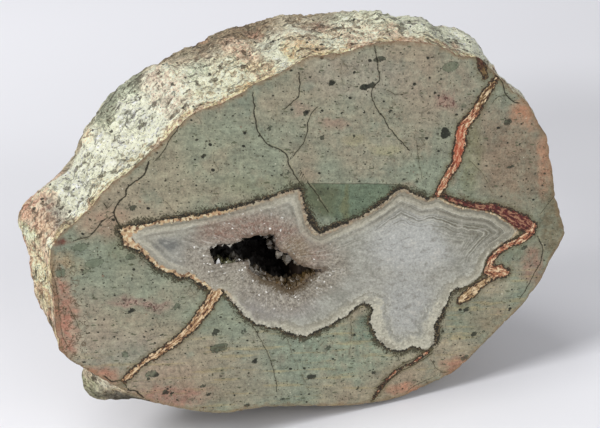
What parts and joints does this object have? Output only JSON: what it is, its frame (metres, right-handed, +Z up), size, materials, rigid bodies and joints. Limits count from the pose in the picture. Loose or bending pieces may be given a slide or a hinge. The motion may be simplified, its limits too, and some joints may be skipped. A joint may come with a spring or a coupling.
{
  "type": "agate specimen",
  "caption": "Half of an agate-filled stone nodule with a polished cut face, a star of banded agate, a crystal-lined hollow and a rough rounded skin.",
  "frame": {"origin": "on the surface that the stone stands on, under the middle of its box", "axes": "+Z up; the cut face looks along -Y; X is along the long way of the cut face"},
  "size_m": [0.1243, 0.049, 0.0931],
  "materials": {
    "nodule_rock": "polished face, rough skin",
    "quartz_crystals": "glossy crystals"
  },
  "bodies": {
    "root": {"nodule": "nodule_rock", "crystal_crust": "quartz_crystals"}
  },
  "joints": []
}
